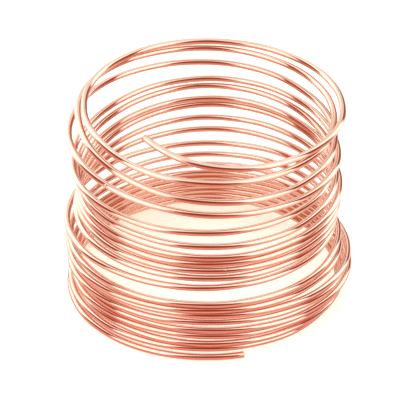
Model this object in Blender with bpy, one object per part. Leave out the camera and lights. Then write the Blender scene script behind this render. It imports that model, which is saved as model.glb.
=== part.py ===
"""A loose, springy coil of bare copper capillary tube, standing on its end.

The coil is one length of thin tube, cut square at both ends, and its bore runs all the way
through. Going up it winds clockwise seen from above, so it is a left-handed helix. It starts at
the front of the floor and ends in a free end, which springs up and bends in over the middle of
the coil. The turns differ in size and spacing, as springy stock does once its tie is off.

Metres, +Z up, with the front of the coil at -Y. The origin is on the floor, under the middle of
the coil's box.
"""

import math
from collections import namedtuple

import bmesh
import bpy
import numpy as np

# The tube
TUBE_DIAMETER = 0.0025
BORE_DIAMETER = 0.00125
OUTER_SIDES = 8
BORE_SIDES = 4

# The coil, measured to the middle of the tube
COIL_RADIUS = 0.050
LYING_GAP = 0.0002
STEPS_PER_TURN = 24
LOWER_END_ANGLE = math.radians(15)
UPPER_END_ANGLE = math.radians(35)

# How much farther back the lowest turn lies than the rest, and the turns that this dies out over
FOOT_SHIFT = 0.0105
FOOT_TURNS = 10

# How loose the coil is: the length of one unit in the table of turns
SLACK = 0.001

# One row for each time round, from the floor up, in units of slack. The first four numbers are
# how much farther the tube stands off the turn below than it does where two turns lie together,
# at the coil's front, left, back and right. In the first row they are its height off the floor.
# The last three are how far the turn swells past the coil's radius at its front, left and right.
# The top row is the free end: it springs up on its left, and its swells pull it in over the middle.
Turn = namedtuple("Turn", "front left back right swell_front swell_left swell_right")
TURNS = (
    Turn(0.0, 0.0, 0.3, 1.8, 0.0, 4.5, 0.5),
    Turn(0.8, 0.2, 0.1, 0.0, -0.3, 4.0, 2.0),
    Turn(0.0, 0.2, 0.1, 0.0, 0.4, 2.0, 3.0),
    Turn(0.3, 0.2, 0.1, 0.2, -0.3, 3.0, 4.5),
    Turn(0.3, 0.1, 0.1, 0.3, 0.3, 2.0, 3.5),
    Turn(1.2, 0.2, 0.0, 0.3, 0.7, 4.0, 4.0),
    Turn(0.5, 0.2, 0.1, 1.0, 0.8, 3.0, 0.5),
    Turn(0.0, 0.7, 1.7, 1.5, 1.8, 4.5, 0.0),
    Turn(0.0, 1.3, 3.0, 4.0, 2.0, 3.5, -2.5),
    Turn(4.6, 4.2, 3.0, 2.3, 1.5, 4.5, -1.5),
    Turn(0.9, 2.4, 4.5, 0.8, 1.0, 1.0, -1.0),
    Turn(0.2, 0.8, 2.7, 0.8, 0.5, 0.0, -1.0),
    Turn(0.0, 0.6, 3.3, 0.8, 0.0, -0.5, -0.5),
    Turn(0.0, 1.2, 0.0, 1.3, 0.0, -0.5, -2.0),
    Turn(1.9, 2.3, 3.0, 2.8, 0.0, 0.0, -3.5),
    Turn(3.2, 1.5, 0.6, 1.3, 0.0, 1.5, -1.5),
    Turn(4.9, 9.8, 4.6, 3.8, 0.0, 2.5, -3.0),
    Turn(2.5, 5.0, 3.4, 5.3, 0.0, -1.0, -3.5),
    Turn(4.3, 0.0, 0.4, 0.2, -1.0, -3.5, -0.3),
    Turn(0.9, 11.0, 0.0, 0.0, -6.7, -12.0, 0.0),
)

COPPER = (0.80, 0.43, 0.30, 1.0)
COPPER_ROUGHNESS = 0.18

# Edges that bend more than this stay sharp: the rims of the two cut ends
SHARP_ANGLE = math.radians(60)


def clear_scene():
    """Removes whatever objects the scene starts with."""
    for existing in list(bpy.data.objects):
        bpy.data.objects.remove(existing, do_unlink=True)


def quarter_heights():
    """The height of the tube's middle at every quarter turn: each turn stands on the one below."""
    heights = []
    for row, turn in enumerate(TURNS):
        for quarter, extra in enumerate(turn[:4]):
            if row == 0:
                heights.append(TUBE_DIAMETER / 2 + extra * SLACK)
            else:
                below = heights[4 * (row - 1) + quarter]
                heights.append(below + TUBE_DIAMETER + LYING_GAP + extra * SLACK)
    return np.array(heights)


def quarter_reaches():
    """How far the tube's middle is from the coil's axis at every quarter turn."""
    reaches = []
    for row, turn in enumerate(TURNS):
        foot = FOOT_SHIFT * max(0.0, 1 - row / FOOT_TURNS)
        swells = (turn.swell_front * SLACK, turn.swell_left * SLACK, foot, turn.swell_right * SLACK)
        reaches.extend(COIL_RADIUS + swell for swell in swells)
    return np.array(reaches)


def smooth(values, places):
    """A smooth curve through evenly spaced values, read at places counted in their spacings."""
    last = len(values) - 1
    start = np.clip(np.floor(places).astype(int), 0, last - 1)
    share = np.clip(places - start, 0, 1)
    a = values[np.maximum(start - 1, 0)]
    b = values[start]
    c = values[start + 1]
    d = values[np.minimum(start + 2, last)]
    bend = a - 2.5 * b + 2 * c - 0.5 * d
    twist = 1.5 * (b - c) + 0.5 * (d - a)
    return b + share * (0.5 * (c - a) + share * (bend + share * twist))


def centreline():
    """The middle of the tube, from the lower end to the upper one.

    Its angle is counted from the coil's front, clockwise seen from above, so it passes the left
    side a quarter of the way round, then the back, then the right.
    """
    first = -LOWER_END_ANGLE
    last = 2 * math.pi * (len(TURNS) - 1) + UPPER_END_ANGLE
    steps = round((last - first) / (2 * math.pi) * STEPS_PER_TURN)
    angle = np.linspace(first, last, steps + 1)
    quarters = angle / (math.pi / 2)
    reach = smooth(quarter_reaches(), quarters)
    height = smooth(quarter_heights(), quarters)
    return np.column_stack([-reach * np.sin(angle), -reach * np.cos(angle), height])


def rings(path, radius, sides):
    """One ring of corners round each point of the path, square to it, with a corner on top."""
    ahead = np.gradient(path, axis=0)
    ahead /= np.linalg.norm(ahead, axis=1, keepdims=True)
    side = np.cross(ahead, (0.0, 0.0, 1.0))
    side /= np.linalg.norm(side, axis=1, keepdims=True)
    top = np.cross(side, ahead)
    turned = np.arange(sides)[:, None, None] * 2 * math.pi / sides
    around = np.cos(turned) * top + np.sin(turned) * side
    return (path + radius * around).swapaxes(0, 1)


def add_wall(bm, corners):
    """Joins each ring of corners to the next, and returns the edges of the two end rings."""
    grid = [[bm.verts.new(corner) for corner in ring] for ring in corners]
    for near, far in zip(grid, grid[1:]):
        for i in range(len(near)):
            bm.faces.new((near[i - 1], near[i], far[i], far[i - 1]))
    ends = []
    for ring in (grid[0], grid[-1]):
        ends.append([bm.edges.get((ring[i - 1], ring[i])) for i in range(len(ring))])
    return ends


def stand_on_origin(bm):
    """Moves the coil so that its box stands on the floor with its middle over the origin."""
    corners = np.array([vert.co for vert in bm.verts])
    low = corners.min(axis=0)
    middle = (low + corners.max(axis=0)) / 2
    bmesh.ops.translate(bm, verts=bm.verts, vec=(-middle[0], -middle[1], -low[2]))


def add_tube():
    """The whole tube as one closed solid: its outside, its bore and the two cut ends."""
    path = centreline()
    # The square bore has the area of the round one
    bore_corner = BORE_DIAMETER / 2 * math.sqrt(math.pi / 2)
    bm = bmesh.new()
    outer_ends = add_wall(bm, rings(path, TUBE_DIAMETER / 2, OUTER_SIDES))
    bore_ends = add_wall(bm, rings(path, bore_corner, BORE_SIDES))
    for outer, bore in zip(outer_ends, bore_ends):
        bmesh.ops.triangle_fill(bm, edges=outer + bore, use_beauty=True)
    bmesh.ops.recalc_face_normals(bm, faces=bm.faces)
    stand_on_origin(bm)
    mesh = bpy.data.meshes.new("capillary_tube")
    bm.to_mesh(mesh)
    bm.free()
    tube = bpy.data.objects.new("capillary_tube", mesh)
    bpy.context.scene.collection.objects.link(tube)
    return tube


def copper():
    """Bright bare copper."""
    material = bpy.data.materials.new("copper")
    material.use_nodes = True
    shader = material.node_tree.nodes["Principled BSDF"]
    shader.inputs["Base Color"].default_value = COPPER
    shader.inputs["Metallic"].default_value = 1.0
    shader.inputs["Roughness"].default_value = COPPER_ROUGHNESS
    return material


def main():
    clear_scene()
    tube = add_tube()
    tube.data.materials.append(copper())
    tube.data.shade_smooth()
    tube.data.set_sharp_from_angle(angle=SHARP_ANGLE)


main()
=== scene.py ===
"""Dresses the coil of copper capillary tube: its round tube, its drawn copper finish and its stage.

It is laid out as a Blender add-on, and it is run as a script. Metres, +Z up, with the front of the
coil at -Y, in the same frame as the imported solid.
"""

import math
from collections import namedtuple

import bpy
import numpy as np
from bpy.props import FloatProperty, FloatVectorProperty, IntProperty, PointerProperty
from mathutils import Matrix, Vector


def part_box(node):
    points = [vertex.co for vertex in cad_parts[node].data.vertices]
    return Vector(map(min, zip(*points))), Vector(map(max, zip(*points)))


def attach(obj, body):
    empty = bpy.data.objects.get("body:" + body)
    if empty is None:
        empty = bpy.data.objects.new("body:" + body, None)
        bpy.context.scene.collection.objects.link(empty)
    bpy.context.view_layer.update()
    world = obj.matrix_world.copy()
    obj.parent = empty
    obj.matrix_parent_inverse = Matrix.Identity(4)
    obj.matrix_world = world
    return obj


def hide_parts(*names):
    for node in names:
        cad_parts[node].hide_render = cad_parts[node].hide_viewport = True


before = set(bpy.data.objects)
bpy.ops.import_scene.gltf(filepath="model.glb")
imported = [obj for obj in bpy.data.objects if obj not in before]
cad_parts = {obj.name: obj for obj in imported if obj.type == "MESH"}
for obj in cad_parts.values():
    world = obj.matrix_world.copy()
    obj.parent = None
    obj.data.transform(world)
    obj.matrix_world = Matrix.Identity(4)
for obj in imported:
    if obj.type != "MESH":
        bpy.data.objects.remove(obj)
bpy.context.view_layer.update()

bl_info = {
    "name": "Capillary coil",
    "version": (1, 0, 0),
    "blender": (4, 5, 0),
    "location": "3D View > Sidebar > Capillary coil",
    "description": "Winds a loose coil of bare copper capillary tube and sets it on a plain stage",
    "category": "Object",
}

NODE = "capillary_tube"

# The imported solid's sections in each turn, and its sides
SOLID_STEPS = 24
SOLID_SIDES = 8

# The drawn wall lies this far inside the solid's corners, so that its smooth curve stays in the box
WALL_INSET = 0.00002

# One row for each time round, from the floor up, in units of slack. The first four numbers are
# how much farther the tube stands off the turn below than it does where two turns lie together,
# at the coil's front, left, back and right. In the first row they are its height off the floor.
# The last three are how far the turn swells past the coil's radius at its front, left and right.
# The top row is the free end: it springs up on its left, and its swells pull it in over the middle.
Turn = namedtuple("Turn", "front left back right swell_front swell_left swell_right")
TURNS = (
    Turn(0.0, 0.0, 0.3, 1.8, 0.0, 4.5, 0.5),
    Turn(0.8, 0.2, 0.1, 0.0, -0.3, 4.0, 2.0),
    Turn(0.0, 0.2, 0.1, 0.0, 0.4, 2.0, 3.0),
    Turn(0.3, 0.2, 0.1, 0.2, -0.3, 3.0, 4.5),
    Turn(0.3, 0.1, 0.1, 0.3, 0.3, 2.0, 3.5),
    Turn(1.2, 0.2, 0.0, 0.3, 0.7, 4.0, 4.0),
    Turn(0.5, 0.2, 0.1, 1.0, 0.8, 3.0, 0.5),
    Turn(0.0, 0.7, 1.7, 1.5, 1.8, 4.5, 0.0),
    Turn(0.0, 1.3, 3.0, 4.0, 2.0, 3.5, -2.5),
    Turn(4.6, 4.2, 3.0, 2.3, 1.5, 4.5, -1.5),
    Turn(0.9, 2.4, 4.5, 0.8, 1.0, 1.0, -1.0),
    Turn(0.2, 0.8, 2.7, 0.8, 0.5, 0.0, -1.0),
    Turn(0.0, 0.6, 3.3, 0.8, 0.0, -0.5, -0.5),
    Turn(0.0, 1.2, 0.0, 1.3, 0.0, -0.5, -2.0),
    Turn(1.9, 2.3, 3.0, 2.8, 0.0, 0.0, -3.5),
    Turn(3.2, 1.5, 0.6, 1.3, 0.0, 1.5, -1.5),
    Turn(4.9, 9.8, 4.6, 3.8, 0.0, 2.5, -3.0),
    Turn(2.5, 5.0, 3.4, 5.3, 0.0, -1.0, -3.5),
    Turn(4.3, 0.0, 0.4, 0.2, -1.0, -3.5, -0.3),
    Turn(0.9, 11.0, 0.0, 0.0, -6.7, -12.0, 0.0),
)

# The darker things that stand before the ring of soft light round the coil. Each is a dome seen
# from the coil. Angles are in degrees: the middle is counted from the front of the stage towards
# its right, and the dome goes half its width to both sides of it and rises to its height over the
# floor. The light is the dome's own, and the table light is what the tube mirrors from the table
# before it. A later dome stands before an earlier one.
Screen = namedtuple("Screen", "middle half_width height light table_light")
SCREENS = (
    # The dull wall behind, once for each side of the place where the angles start again
    Screen(176, 32, 80, (0.98, 1.10, 1.06), (1.08, 1.25, 1.21)),
    Screen(-184, 32, 80, (0.98, 1.10, 1.06), (1.08, 1.25, 1.21)),
    # The dark openings: a low one at the back on the right, then left, right and front
    Screen(150, 18, 34, (0.42, 0.17, 0.13), (0.80, 0.56, 0.48)),
    Screen(-92, 18, 70, (0.45, 0.17, 0.125), (0.86, 0.56, 0.47)),
    Screen(94, 18, 66, (0.42, 0.155, 0.115), (0.86, 0.56, 0.47)),
    Screen(3.5, 33, 66, (0.39, 0.12, 0.08), (0.78, 0.38, 0.30)),
)

# Where one light of the room fades into another: at the edge of a dome, as shares of the dome's
# size, and up from the ring to the sheet overhead, in degrees
SCREEN_EDGE = (0.72, 1.08)
RING_TO_SHEET = (32, 78)

# Where one light of the table fades into another: from its front to its back, from the coil's foot
# outwards, and from the foot out to a dome, all in metres from the coil's axis, and at both sides
# of the light before a dome, as shares of the dome's half width
FRONT_TO_BACK = (-0.08, 0.08)
NEAR_TO_FAR = (0.045, 0.170)
FOOT_TO_SCREEN = (0.07, 0.16)
TABLE_EDGE = (0.6, 1.3)

# The slow waves where hands have bent the tube: how many to a turn, their heights against each
# other's, and their starts in radians
Wave = namedtuple("Wave", "per_turn height start")
WAVES = (Wave(5.3, 1.0, 0.0), Wave(8.6, 0.7, 1.1), Wave(13.7, 0.5, 2.3))

# The levels of the noise between which a handled patch fades in, the draws between which a cell
# comes to have a nick, and how far from the nick's middle its floor and its edge lie, in cells
HANDLED_FADE = (0.46, 0.68)
NICK_DRAW = (0.62, 0.64)
NICK_FADE = (0.02, 0.07)

# How much of its own colour a handled patch and a nick show, and the broad lines' part in the
# relief of all the drawn lines
HANDLED_SHARE = 0.8
NICK_SHARE = 0.5
BROAD_SHARE = 0.7

# What the camera sees past the floor
BACKDROP = (1.0, 1.0, 1.0)

# Points on the quarter circle of each rim, and how many times finer than the tube's own steps its
# length is measured
RIM_POINTS = 4
LENGTH_STEPS = 8

# The point that the camera stands before: how far behind the front of the coil's box it is, and how
# far over its bottom. The camera looks a little to the left of it.
VIEW_FROM_FRONT = 0.0532
VIEW_HEIGHT = 0.0384
VIEW_LEFT = 0.00343


class CoilSizes(bpy.types.PropertyGroup):
    """The sizes of the tube and of the coil that it is wound into."""

    tube_diameter: FloatProperty(
        name="Tube diameter",
        description="Outside diameter of the tube",
        default=0.0025,
        unit="LENGTH",
    )
    bore_diameter: FloatProperty(
        name="Bore diameter",
        description="Diameter of the hole that runs through the tube",
        default=0.00125,
        unit="LENGTH",
    )
    coil_radius: FloatProperty(
        name="Coil radius",
        description="From the coil's axis to the middle of the tube, before a turn swells",
        default=0.050,
        unit="LENGTH",
    )
    lying_gap: FloatProperty(
        name="Lying gap",
        description="Daylight between two turns that lie together",
        default=0.0002,
        unit="LENGTH",
    )
    slack: FloatProperty(
        name="Slack",
        description="Length of one unit in the table of turns: a larger one makes a looser coil",
        default=0.001,
        unit="LENGTH",
    )
    foot_shift: FloatProperty(
        name="Foot shift",
        description="How much farther back the lowest turn lies than the rest",
        default=0.0105,
        unit="LENGTH",
    )
    foot_turns: IntProperty(
        name="Foot turns",
        description="The turns over which the foot's shift dies out",
        default=10,
        min=1,
    )
    lower_end_angle: FloatProperty(
        name="Lower end angle",
        description="How far the lower end reaches past the coil's front",
        default=math.radians(15),
        subtype="ANGLE",
    )
    upper_end_angle: FloatProperty(
        name="Upper end angle",
        description="How far round from the coil's front the free end reaches",
        default=math.radians(35),
        subtype="ANGLE",
    )
    handling_wave: FloatProperty(
        name="Handling wave",
        description="How far the tube wanders inwards where hands have straightened and bent it",
        default=0.0005,
        unit="LENGTH",
    )
    rim_radius: FloatProperty(
        name="Rim radius",
        description="Rounding of the outer rim of each cut end",
        default=0.00012,
        unit="LENGTH",
    )
    bore_rim_radius: FloatProperty(
        name="Bore rim radius",
        description="Rounding of the inner rim of each cut end",
        default=0.00008,
        unit="LENGTH",
    )
    sides: IntProperty(
        name="Sides",
        description="Faces round the tube",
        default=24,
        min=8,
    )
    wall_steps: IntProperty(
        name="Wall steps",
        description="Steps in each turn of the tube's outside",
        default=120,
        min=24,
    )
    bore_steps: IntProperty(
        name="Bore steps",
        description="Steps in each turn of the bore",
        default=48,
        min=24,
    )


class CopperFinish(bpy.types.PropertyGroup):
    """The colours and the polish of the drawn copper."""

    bright: FloatVectorProperty(
        name="Bright copper",
        description="Colour of the clean drawn surface",
        default=(0.93, 0.62, 0.52),
        subtype="COLOR",
        size=3,
        min=0,
        max=1,
    )
    handled: FloatVectorProperty(
        name="Handled copper",
        description="Deeper colour where the surface has been handled",
        default=(0.90, 0.54, 0.43),
        subtype="COLOR",
        size=3,
        min=0,
        max=1,
    )
    cut: FloatVectorProperty(
        name="Cut copper",
        description="Colour of the cut ends",
        default=(0.92, 0.56, 0.42),
        subtype="COLOR",
        size=3,
        min=0,
        max=1,
    )
    bore: FloatVectorProperty(
        name="Bore",
        description="Colour of the dull surface inside the bore",
        default=(0.42, 0.19, 0.12),
        subtype="COLOR",
        size=3,
        min=0,
        max=1,
    )
    polish: FloatProperty(
        name="Polish",
        description="Roughness of the clean drawn surface",
        default=0.05,
        min=0,
        max=1,
        subtype="FACTOR",
    )
    dullness: FloatProperty(
        name="Dullness",
        description="Roughness added where the surface has been handled",
        default=0.05,
        min=0,
        max=1,
        subtype="FACTOR",
    )
    line_dullness: FloatProperty(
        name="Line dullness",
        description="How much the roughness differs from one fine drawn line to the next",
        default=0.05,
        min=0,
        max=1,
        subtype="FACTOR",
    )
    nick_dullness: FloatProperty(
        name="Nick dullness",
        description="Roughness added in a nick",
        default=0.15,
        min=0,
        max=1,
        subtype="FACTOR",
    )
    cut_dullness: FloatProperty(
        name="Cut dullness",
        description="Roughness added on the cut ends",
        default=0.22,
        min=0,
        max=1,
        subtype="FACTOR",
    )
    bore_dullness: FloatProperty(
        name="Bore dullness",
        description="Roughness added inside the bore",
        default=0.35,
        min=0,
        max=1,
        subtype="FACTOR",
    )
    line_depth: FloatProperty(
        name="Line depth",
        description="Depth of the drawn lines and of the cutter's marks",
        default=0.000006,
        unit="LENGTH",
        precision=6,
    )
    nick_depth: FloatProperty(
        name="Nick depth",
        description="Depth of a nick",
        default=0.00004,
        unit="LENGTH",
        precision=6,
    )


class StageSettings(bpy.types.PropertyGroup):
    """The floor, the light and the camera."""

    floor_colour: FloatVectorProperty(
        name="Floor colour",
        description="Colour of the plain floor",
        default=(0.80, 0.80, 0.80),
        subtype="COLOR",
        size=3,
        min=0,
        max=1,
    )
    floor_glow: FloatVectorProperty(
        name="Floor glow",
        description="Light that the white table gives through its top",
        default=(0.56, 0.49, 0.39),
        subtype="COLOR",
        size=3,
        min=0,
    )
    floor_size: FloatProperty(
        name="Floor size",
        description="Length of the floor's side",
        default=12.0,
        unit="LENGTH",
    )
    brightness: FloatProperty(
        name="Brightness",
        description="Strength of all the soft lights",
        default=1.0,
        min=0,
    )
    gamma: FloatProperty(
        name="Gamma",
        description="Under 1 it deepens the darker tones of the view and leaves white as it is",
        default=0.8,
        min=0.5,
        max=2,
    )
    near_front: FloatVectorProperty(
        name="Near, in front",
        description="Light that the tube mirrors from the table at its foot, in front",
        default=(0.90, 0.47, 0.41),
        subtype="COLOR",
        size=3,
        min=0,
    )
    near_back: FloatVectorProperty(
        name="Near, behind",
        description="Light that the tube mirrors from the table at its foot, behind",
        default=(0.92, 0.84, 0.72),
        subtype="COLOR",
        size=3,
        min=0,
    )
    far_front: FloatVectorProperty(
        name="Far, in front",
        description="Light that the tube mirrors from the open table in front",
        default=(1.15, 1.22, 1.12),
        subtype="COLOR",
        size=3,
        min=0,
    )
    far_back: FloatVectorProperty(
        name="Far, behind",
        description="Light that the tube mirrors from the open table behind",
        default=(1.18, 1.40, 1.36),
        subtype="COLOR",
        size=3,
        min=0,
    )
    ring: FloatVectorProperty(
        name="Ring",
        description="Light of the ring of soft lights round the coil",
        default=(1.46, 1.80, 1.84),
        subtype="COLOR",
        size=3,
        min=0,
    )
    overhead: FloatVectorProperty(
        name="Overhead",
        description="Light of the sheet over the coil",
        default=(1.02, 1.18, 1.19),
        subtype="COLOR",
        size=3,
        min=0,
    )
    card_height: FloatProperty(
        name="Card height",
        description="Height of the card that the tube mirrors, over the floor",
        default=0.00005,
        unit="LENGTH",
    )
    camera_distance: FloatProperty(
        name="Camera distance",
        description="From the camera to the middle of the coil",
        default=0.700,
        unit="LENGTH",
    )
    camera_height: FloatProperty(
        name="Camera height",
        description="How steeply the camera looks down",
        default=math.radians(32),
        subtype="ANGLE",
    )
    lens: FloatProperty(
        name="Lens",
        description="Focal length in millimetres, on a sensor 36 mm wide",
        default=165.0,
    )


def quarter_heights(sizes):
    """The height of the tube's middle at every quarter turn: each turn stands on the one below."""
    heights = []
    for row, turn in enumerate(TURNS):
        for quarter, extra in enumerate(turn[:4]):
            if row == 0:
                heights.append(sizes.tube_diameter / 2 + extra * sizes.slack)
            else:
                below = heights[4 * (row - 1) + quarter]
                heights.append(below + sizes.tube_diameter + sizes.lying_gap + extra * sizes.slack)
    return np.array(heights)


def quarter_reaches(sizes):
    """How far the tube's middle is from the coil's axis at every quarter turn."""
    reaches = []
    for row, turn in enumerate(TURNS):
        foot = sizes.foot_shift * max(0.0, 1 - row / sizes.foot_turns)
        front = turn.swell_front * sizes.slack
        left = turn.swell_left * sizes.slack
        right = turn.swell_right * sizes.slack
        reaches.extend(sizes.coil_radius + swell for swell in (front, left, foot, right))
    return np.array(reaches)


def smooth(values, places):
    """A smooth curve through evenly spaced values, read at places counted in their spacings.

    Each stretch is the cubic that leaves a value and reaches the next along the slopes that their
    neighbours give.
    """
    last = len(values) - 1
    start = np.clip(np.floor(places).astype(int), 0, last - 1)
    share = np.clip(places - start, 0, 1)
    a = values[np.maximum(start - 1, 0)]
    b = values[start]
    c = values[start + 1]
    d = values[np.minimum(start + 2, last)]
    bend = a - 2.5 * b + 2 * c - 0.5 * d
    twist = 1.5 * (b - c) + 0.5 * (d - a)
    return b + share * (0.5 * (c - a) + share * (bend + share * twist))


def end_angles(sizes):
    """The angles of the lower and the upper end."""
    return -sizes.lower_end_angle, 2 * math.pi * (len(TURNS) - 1) + sizes.upper_end_angle


def handling(angle, sizes):
    """How far the tube has been pushed inwards at an angle: a sum of sines, none a whole number of
    waves to a turn, so that no two turns bend alike. It dies out over the half turn at each end."""
    first, last = end_angles(sizes)
    waves = sum(wave.height * np.sin(wave.per_turn * angle + wave.start) for wave in WAVES)
    highest = sum(wave.height for wave in WAVES)
    from_end = np.clip(np.minimum(angle - first, last - angle) / math.pi, 0, 1)
    return sizes.handling_wave * from_end * (1 + waves / highest) / 2


def coil_path(angle, sizes, pushed=0.0):
    """The middle of the tube at each angle, counted from the coil's front, clockwise from above.

    It is a circle of changing reach that climbs: minus reach times the sine, minus reach times the
    cosine, and the height. Where the tube is pushed inwards, its reach is that much shorter.
    """
    quarters = angle / (math.pi / 2)
    reach = smooth(quarter_reaches(sizes), quarters) - pushed
    height = smooth(quarter_heights(sizes), quarters)
    return np.column_stack([-reach * np.sin(angle), -reach * np.cos(angle), height])


def centreline(angle, sizes):
    """The middle of the tube at each angle, with the waves of its handling."""
    return coil_path(angle, sizes, handling(angle, sizes))


def section_axes(ahead):
    """The directions along the tube, out to its side and up its section, one unit long."""
    ahead = ahead / np.linalg.norm(ahead, axis=1, keepdims=True)
    side = np.cross(ahead, (0.0, 0.0, 1.0))
    side /= np.linalg.norm(side, axis=1, keepdims=True)
    return ahead, side, np.cross(side, ahead)


def tube_outline(first, last, sizes):
    """The tube's wall cut along its length, as a closed outline: where each point lies along the
    coil, how far past that place it stands, and how far from the tube's middle.

    It runs up the outside, over the upper cut end, back down the bore and over the lower cut end.
    Each rim is a quarter of a circle. It also says which points are on a cut end and in the bore.
    """
    turns = (last - first) / (2 * math.pi)
    wall = np.linspace(first, last, round(turns * sizes.wall_steps) + 1)[1:-1]
    bore = np.linspace(last, first, round(turns * sizes.bore_steps) + 1)[1:-1]
    radius = sizes.tube_diameter / 2 - WALL_INSET
    hole = sizes.bore_diameter / 2
    bend = np.linspace(0, math.pi / 2, RIM_POINTS)
    rim_past = sizes.rim_radius * (np.sin(bend) - 1)
    rim_reach = radius - sizes.rim_radius * (1 - np.cos(bend))
    lip_past = sizes.bore_rim_radius * (np.cos(bend) - 1)
    lip_reach = hole + sizes.bore_rim_radius * (1 - np.sin(bend))
    end_past = np.concatenate([rim_past, lip_past])
    end_reach = np.concatenate([rim_reach, lip_reach])
    # Nothing, once for each point of a stretch
    on_wall = np.zeros(len(wall))
    on_end = np.zeros(len(end_past))
    on_bore = np.zeros(len(bore))
    angle = np.concatenate([wall, on_end + last, bore, on_end + first])
    past = np.concatenate([on_wall, end_past, on_bore, -end_past[::-1]])
    reach = np.concatenate([on_wall + radius, end_reach, on_bore + hole, end_reach[::-1]])
    is_end = np.concatenate([on_wall, on_end + 1, on_bore, on_end + 1])
    is_bore = np.concatenate([on_wall, on_end, on_bore + 1, on_end])
    return angle, past, reach, is_end, is_bore


def grid_mesh(name, points):
    """A mesh from a grid of points that closes on itself both ways, with outward faces."""
    rings, sides, _ = points.shape
    index = np.arange(rings * sides).reshape(rings, sides)
    ahead = np.roll(index, -1, axis=0)
    beside = np.roll(index, -1, axis=1)
    quads = np.stack([index, beside, np.roll(ahead, -1, axis=1), ahead], axis=-1)
    mesh = bpy.data.meshes.new(name)
    mesh.from_pydata(points.reshape(-1, 3), [], quads.reshape(-1, 4))
    mesh.validate()
    return mesh


def add_point_values(mesh, name, values, kind):
    """Stores one number or one vector for each point of the mesh."""
    layer = mesh.attributes.new(name, kind, "POINT")
    field = "value" if kind == "FLOAT" else "vector"
    layer.data.foreach_set(field, values.astype(np.float32).ravel())


def tube_mesh(sizes):
    """The whole tube: the outline of its wall, turned round its middle, at every place on the coil.

    A point is the centreline, plus its step along the tube, plus its reach times the cosine up the
    section and the sine out to the side.
    """
    first, last = end_angles(sizes)
    angle, past, reach, is_end, is_bore = tube_outline(first, last, sizes)
    nudge = 1e-3
    ahead, side, top = section_axes(
        centreline(angle + nudge, sizes) - centreline(angle - nudge, sizes)
    )
    around = np.arange(sizes.sides) * 2 * math.pi / sizes.sides
    up_share = (reach[:, None] * np.cos(around))[..., None]
    side_share = (reach[:, None] * np.sin(around))[..., None]
    middle = centreline(angle, sizes) + past[:, None] * ahead
    points = middle[:, None] + up_share * top[:, None] + side_share * side[:, None]
    points += stand_shift(sizes, first, last)
    mesh = grid_mesh("copper_tube", points)
    # The tube laid out straight: metres along it, then across its section
    fine = np.linspace(first, last, LENGTH_STEPS * len(angle))
    lengths = np.linalg.norm(np.diff(centreline(fine, sizes), axis=0), axis=1)
    along = np.interp(angle, fine, np.concatenate([[0.0], np.cumsum(lengths)])) + past
    along = np.broadcast_to(along[:, None, None], up_share.shape)
    drawn = np.concatenate([along, up_share, side_share], axis=-1)
    add_point_values(mesh, "drawn", drawn, "FLOAT_VECTOR")
    sides = np.ones(sizes.sides)
    add_point_values(mesh, "cut_end", np.outer(is_end, sides), "FLOAT")
    add_point_values(mesh, "in_bore", np.outer(is_bore, sides), "FLOAT")
    return mesh


def stand_shift(sizes, first, last):
    """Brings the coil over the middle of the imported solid's box, standing where that stands.

    The solid is a plain eight-sided tube with a corner up and 24 sections to a turn, so its box is
    worked out from the same sections.
    """
    steps = round((last - first) / (2 * math.pi) * SOLID_STEPS)
    path = coil_path(np.linspace(first, last, steps + 1), sizes)
    side, top = section_axes(np.gradient(path, axis=0))[1:]
    turned = np.arange(SOLID_SIDES)[:, None, None] * 2 * math.pi / SOLID_SIDES
    around = np.cos(turned) * top + np.sin(turned) * side
    corners = (path + sizes.tube_diameter / 2 * around).reshape(-1, 3)
    low, high = (np.array(corner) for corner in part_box(NODE))
    shift = (low + high) / 2 - (corners.min(axis=0) + corners.max(axis=0)) / 2
    shift[2] = low[2] - corners[:, 2].min()
    return shift


class Varying:
    """A number that changes over a surface. Python's own signs add the Math nodes for it."""

    def __init__(self, bench, socket):
        self.bench = bench
        self.socket = socket

    def __add__(self, other):
        return self.bench.maths("ADD", self, other)

    __radd__ = __add__

    def __sub__(self, other):
        return self.bench.maths("SUBTRACT", self, other)

    def __rsub__(self, other):
        return self.bench.maths("SUBTRACT", other, self)

    def __mul__(self, other):
        return self.bench.maths("MULTIPLY", self, other)

    __rmul__ = __mul__

    def __neg__(self):
        return self * -1

    def rise(self, start, end):
        """0 below start, 1 above end, and a smooth rise between them."""
        made = self.bench.node(
            "ShaderNodeMapRange",
            {"interpolation_type": "SMOOTHSTEP"},
            {"Value": self, "From Min": start, "From Max": end},
        )
        return self.bench.number(made, 0)


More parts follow.
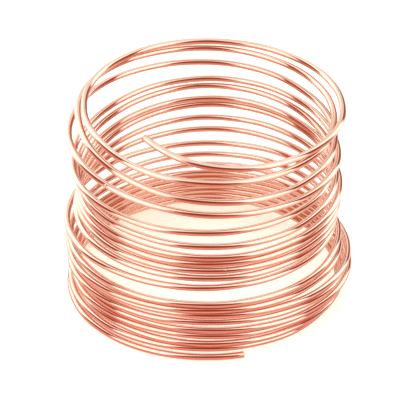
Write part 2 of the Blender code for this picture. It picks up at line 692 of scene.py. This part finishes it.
class Bench:
    """Adds nodes to one node tree."""

    def __init__(self, tree):
        self.tree = tree
        tree.nodes.clear()

    def node(self, kind, settings=None, inputs=None):
        """A node of that type: its settings are made first, then its sockets are set or linked."""
        made = self.tree.nodes.new(kind)
        for name, value in (settings or {}).items():
            setattr(made, name, value)
        for key, value in (inputs or {}).items():
            if isinstance(value, Varying):
                value = value.socket
            if isinstance(value, bpy.types.NodeSocket):
                self.tree.links.new(value, made.inputs[key])
            else:
                made.inputs[key].default_value = value
        return made

    def number(self, node, output):
        """A node's output, as a number to reckon with."""
        return Varying(self, node.outputs[output])

    def maths(self, operation, *values):
        """A Math node on those values."""
        made = self.node("ShaderNodeMath", {"operation": operation}, dict(enumerate(values)))
        return self.number(made, 0)

    def point_values(self, name):
        """The node that reads what the mesh stores for each of its points under that name."""
        return self.node("ShaderNodeAttribute", {"attribute_name": name})

    def axes(self, vector):
        """The three numbers of a vector."""
        split = self.node("ShaderNodeSeparateXYZ", None, {0: vector})
        return [self.number(split, axis) for axis in "XYZ"]

    def bearing(self, x, y):
        """The angle round the coil in degrees, from the front of the stage towards its right."""
        return self.maths("ARCTAN2", x, -y) * math.degrees(1)

    def mix(self, share, under, over):
        """The under colour where share is 0, and the over colour where it is 1."""
        made = self.node("ShaderNodeMix", {"data_type": "RGBA"}, {0: share, 6: under, 7: over})
        return made.outputs[2]

    def stretched(self, drawn, along, across):
        """The straightened tube's coordinates, with that many units to a metre each way."""
        scale = (along, across, across)
        made = self.node("ShaderNodeVectorMath", {"operation": "MULTIPLY"}, {0: drawn, 1: scale})
        return made.outputs[0]

    def drawn_noise(self, drawn, along, across, detail):
        """Smooth noise on the straightened tube, about 0.5 on average, stretched the same way."""
        inputs = {"Vector": self.stretched(drawn, along, across), "Scale": 1.0, "Detail": detail}
        return self.number(self.node("ShaderNodeTexNoise", None, inputs), 0)

    def surface(self, kind, inputs, output="ShaderNodeOutputMaterial"):
        """The shader that all the rest leads to, and the output after it."""
        shader = self.node(kind, None, inputs)
        self.node(output, None, {"Surface": shader.outputs[0]})


def new_material(name):
    """A material of that name, and a bench for its nodes."""
    material = bpy.data.materials.new(name)
    material.use_nodes = True
    return material, Bench(material.node_tree)


def solid(colour):
    """A colour from the settings, with its alpha."""
    return (*colour, 1.0)


def copper_material(finish):
    """Bright drawn copper: fine lines along the tube, handled patches, nicks, cut ends and bore."""
    material, bench = new_material("drawn_copper")
    drawn = bench.point_values("drawn").outputs["Vector"]
    cut_end = bench.number(bench.point_values("cut_end"), "Fac")
    in_bore = bench.number(bench.point_values("in_bore"), "Fac")

    # Handled patches a few centimetres long
    handled = bench.drawn_noise(drawn, along=38, across=260, detail=3).rise(*HANDLED_FADE)
    # Lines left by the drawing die: broad ones, and fine ones a tenth of a millimetre apart
    broad_lines = bench.drawn_noise(drawn, along=14, across=2100, detail=2)
    fine_lines = bench.drawn_noise(drawn, along=45, across=8500, detail=2)
    # Marks of the cutter on the two end faces
    cutter_lines = bench.drawn_noise(drawn, along=10, across=5200, detail=2)
    # Nicks, a few to each metre of tube: in some cells, and only where their middle is near it
    place = bench.stretched(drawn, along=150, across=45)
    cells = bench.node("ShaderNodeTexVoronoi", None, {"Vector": place, "Scale": 1.0})
    draw = bench.node("ShaderNodeSeparateColor", None, {0: cells.outputs["Color"]})
    has_nick = bench.number(draw, 0).rise(*NICK_DRAW)
    nick = (1 - bench.number(cells, "Distance").rise(*NICK_FADE)) * has_nick

    colour = bench.mix(handled * HANDLED_SHARE, solid(finish.bright), solid(finish.handled))
    colour = bench.mix(nick * NICK_SHARE, colour, solid(finish.cut))
    colour = bench.mix(cut_end, colour, solid(finish.cut))
    colour = bench.mix(in_bore, colour, solid(finish.bore))

    roughness = finish.polish + handled * finish.dullness
    roughness = roughness + (fine_lines - 0.5) * finish.line_dullness + nick * finish.nick_dullness
    roughness = roughness + cut_end * finish.cut_dullness + in_bore * finish.bore_dullness

    height = broad_lines * BROAD_SHARE + fine_lines * (1 - BROAD_SHARE) + cutter_lines * cut_end
    lines = bench.node(
        "ShaderNodeBump",
        None,
        {"Strength": 1.0, "Distance": finish.line_depth, "Height": height},
    )
    dents = bench.node(
        "ShaderNodeBump",
        {"invert": True},
        {
            "Strength": 1.0,
            "Distance": finish.nick_depth,
            "Height": nick,
            "Normal": lines.outputs[0],
        },
    )
    bench.surface(
        "ShaderNodeBsdfPrincipled",
        {
            "Base Color": colour,
            "Metallic": 1.0,
            "Roughness": roughness,
            "Normal": dents.outputs[0],
        },
    )
    return material


def floor_material(stage):
    """Plain pale floor: a white table that also glows a little from below."""
    material, bench = new_material("pale_floor")
    bench.surface(
        "ShaderNodeBsdfPrincipled",
        {
            "Base Color": solid(stage.floor_colour),
            "Roughness": 0.6,
            "Emission Color": solid(stage.floor_glow),
            "Emission Strength": 1.0,
        },
    )
    return material


def card_material(stage):
    """What the tube mirrors of the table: dimmer by the coil's foot, brighter farther out and
    behind, and darker and redder before each screen, where the screen's shade is painted on.

    A place is before a screen as far as it is within the screen's width and away from the foot.
    """
    material, bench = new_material("table_card")
    place = bench.node("ShaderNodeTexCoord").outputs["Object"]
    x, y, _ = bench.axes(place)
    distance = bench.node("ShaderNodeVectorMath", {"operation": "LENGTH"}, {0: place})
    reach = bench.number(distance, "Value")
    back = y.rise(*FRONT_TO_BACK)
    near_colour = bench.mix(back, solid(stage.near_front), solid(stage.near_back))
    far_colour = bench.mix(back, solid(stage.far_front), solid(stage.far_back))
    colour = bench.mix(reach.rise(*NEAR_TO_FAR), near_colour, far_colour)
    side = bench.bearing(x, y)
    away = reach.rise(*FOOT_TO_SCREEN)
    # Before each screen the table's light turns darker and redder: a painted shade that the screen
    # casts on it
    for screen in SCREENS:
        across = bench.maths("ABSOLUTE", (side - screen.middle) * (1 / screen.half_width))
        before = (1 - across.rise(*TABLE_EDGE)) * away
        colour = bench.mix(before, colour, solid(screen.table_light))
    bench.surface("ShaderNodeEmission", {"Color": colour, "Strength": stage.brightness})
    return material


def light_the_room(stage):
    """A ring of soft light round the coil that fades to a sheet over it, with screens before it.

    A screen is a dome: its depth is the length of a place's angles from the screen's middle, each
    as a share of the dome's own. It shines by direction alone. What the camera sees past the floor
    is plain white.
    """
    world = bpy.data.worlds.new("soft_studio")
    bpy.context.scene.world = world
    world.use_nodes = True
    bench = Bench(world.node_tree)
    x, y, z = bench.axes(bench.node("ShaderNodeTexCoord").outputs["Generated"])
    side = bench.bearing(x, y)
    up = bench.maths("ARCSINE", z) * math.degrees(1)
    colour = bench.mix(up.rise(*RING_TO_SHEET), solid(stage.ring), solid(stage.overhead))
    for screen in SCREENS:
        across = (side - screen.middle) * (1 / screen.half_width)
        upwards = up * (1 / screen.height)
        depth = bench.maths("SQRT", across * across + upwards * upwards)
        colour = bench.mix(1 - depth.rise(*SCREEN_EDGE), colour, solid(screen.light))
    seen = bench.node("ShaderNodeLightPath").outputs["Is Camera Ray"]
    colour = bench.mix(seen, colour, solid(BACKDROP))
    inputs = {"Color": colour, "Strength": stage.brightness}
    bench.surface("ShaderNodeBackground", inputs, "ShaderNodeOutputWorld")


def add_object(name, mesh):
    """Links a mesh to the scene as an object at the origin."""
    made = bpy.data.objects.new(name, mesh)
    bpy.context.scene.collection.objects.link(made)
    return made


def lay_sheet(name, size, height, material):
    """A square sheet of the stage, flat at that height."""
    half = size / 2
    outline = ((-half, -half), (half, -half), (half, half), (-half, half))
    corners = [(x, y, height) for x, y in outline]
    mesh = bpy.data.meshes.new(name)
    mesh.from_pydata(corners, [], [(0, 1, 2, 3)])
    mesh.materials.append(material)
    sheet = add_object(name, mesh)
    return sheet


class COIL_OT_wind_tube(bpy.types.Operator):
    """Winds the round copper tube in place of the plain solid."""

    bl_idname = "coil.wind_tube"
    bl_label = "Wind the tube"

    def execute(self, context):
        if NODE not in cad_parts:
            raise RuntimeError(f"the frame has no node named {NODE}")
        tube = add_object("copper_tube", tube_mesh(context.scene.coil_sizes))
        tube.data.shade_smooth()
        tube.data.materials.append(copper_material(context.scene.copper_finish))
        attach(tube, "root")
        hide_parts(NODE)
        return {"FINISHED"}


class COIL_OT_set_stage(bpy.types.Operator):
    """Lays the floor, lights the room and sets the camera."""

    bl_idname = "coil.set_stage"
    bl_label = "Set the stage"

    def execute(self, context):
        stage = context.scene.stage_settings
        lay_sheet("floor", stage.floor_size, 0.0, floor_material(stage))
        card = lay_sheet("table_card", stage.floor_size, stage.card_height, card_material(stage))
        card.visible_camera = False
        card.visible_diffuse = False
        card.visible_shadow = False
        light_the_room(stage)
        set_camera(stage)
        context.scene.view_settings.view_transform = "Standard"
        context.scene.view_settings.gamma = stage.gamma
        return {"FINISHED"}


def set_camera(stage):
    """Stands the camera in front of the coil, looking down on a point just left of its middle."""
    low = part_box(NODE)[0]
    middle = Vector((0.0, low.y + VIEW_FROM_FRONT, low.z + VIEW_HEIGHT))
    back = Vector((0.0, -math.cos(stage.camera_height), math.sin(stage.camera_height)))
    aim = middle - Vector((VIEW_LEFT, 0.0, 0.0))
    camera = bpy.data.objects.new("camera", bpy.data.cameras.new("camera"))
    camera.data.sensor_width = 36.0
    camera.data.lens = stage.lens
    camera.data.clip_start = 0.01
    camera.data.clip_end = 50.0
    camera.location = middle + back * stage.camera_distance
    camera.rotation_mode = "QUATERNION"
    camera.rotation_quaternion = (aim - camera.location).to_track_quat("-Z", "Y")
    bpy.context.scene.collection.objects.link(camera)
    bpy.context.scene.camera = camera


class VIEW3D_PT_capillary_coil(bpy.types.Panel):
    """Lists the steps and the settings in the 3D view's sidebar."""

    bl_label = "Capillary coil"
    bl_space_type = "VIEW_3D"
    bl_region_type = "UI"
    bl_category = "Capillary coil"

    def draw(self, context):
        layout = self.layout
        for operator in OPERATORS:
            layout.operator(operator.bl_idname)
        scene = context.scene
        for group in (scene.coil_sizes, scene.copper_finish, scene.stage_settings):
            box = layout.box()
            for name in group.__annotations__:
                box.prop(group, name)


OPERATORS = (COIL_OT_wind_tube, COIL_OT_set_stage)
CLASSES = (CoilSizes, CopperFinish, StageSettings, *OPERATORS, VIEW3D_PT_capillary_coil)


def register():
    """Makes the classes known to Blender and gives every scene its settings."""
    for cls in CLASSES:
        bpy.utils.register_class(cls)
    bpy.types.Scene.coil_sizes = PointerProperty(type=CoilSizes)
    bpy.types.Scene.copper_finish = PointerProperty(type=CopperFinish)
    bpy.types.Scene.stage_settings = PointerProperty(type=StageSettings)


def unregister():
    """Takes the settings and the classes away again."""
    del bpy.types.Scene.stage_settings
    del bpy.types.Scene.copper_finish
    del bpy.types.Scene.coil_sizes
    for cls in reversed(CLASSES):
        bpy.utils.unregister_class(cls)


def main():
    """Winds the tube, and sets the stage."""
    register()
    bpy.ops.coil.wind_tube()
    bpy.ops.coil.set_stage()


if __name__ == "__main__":
    main()
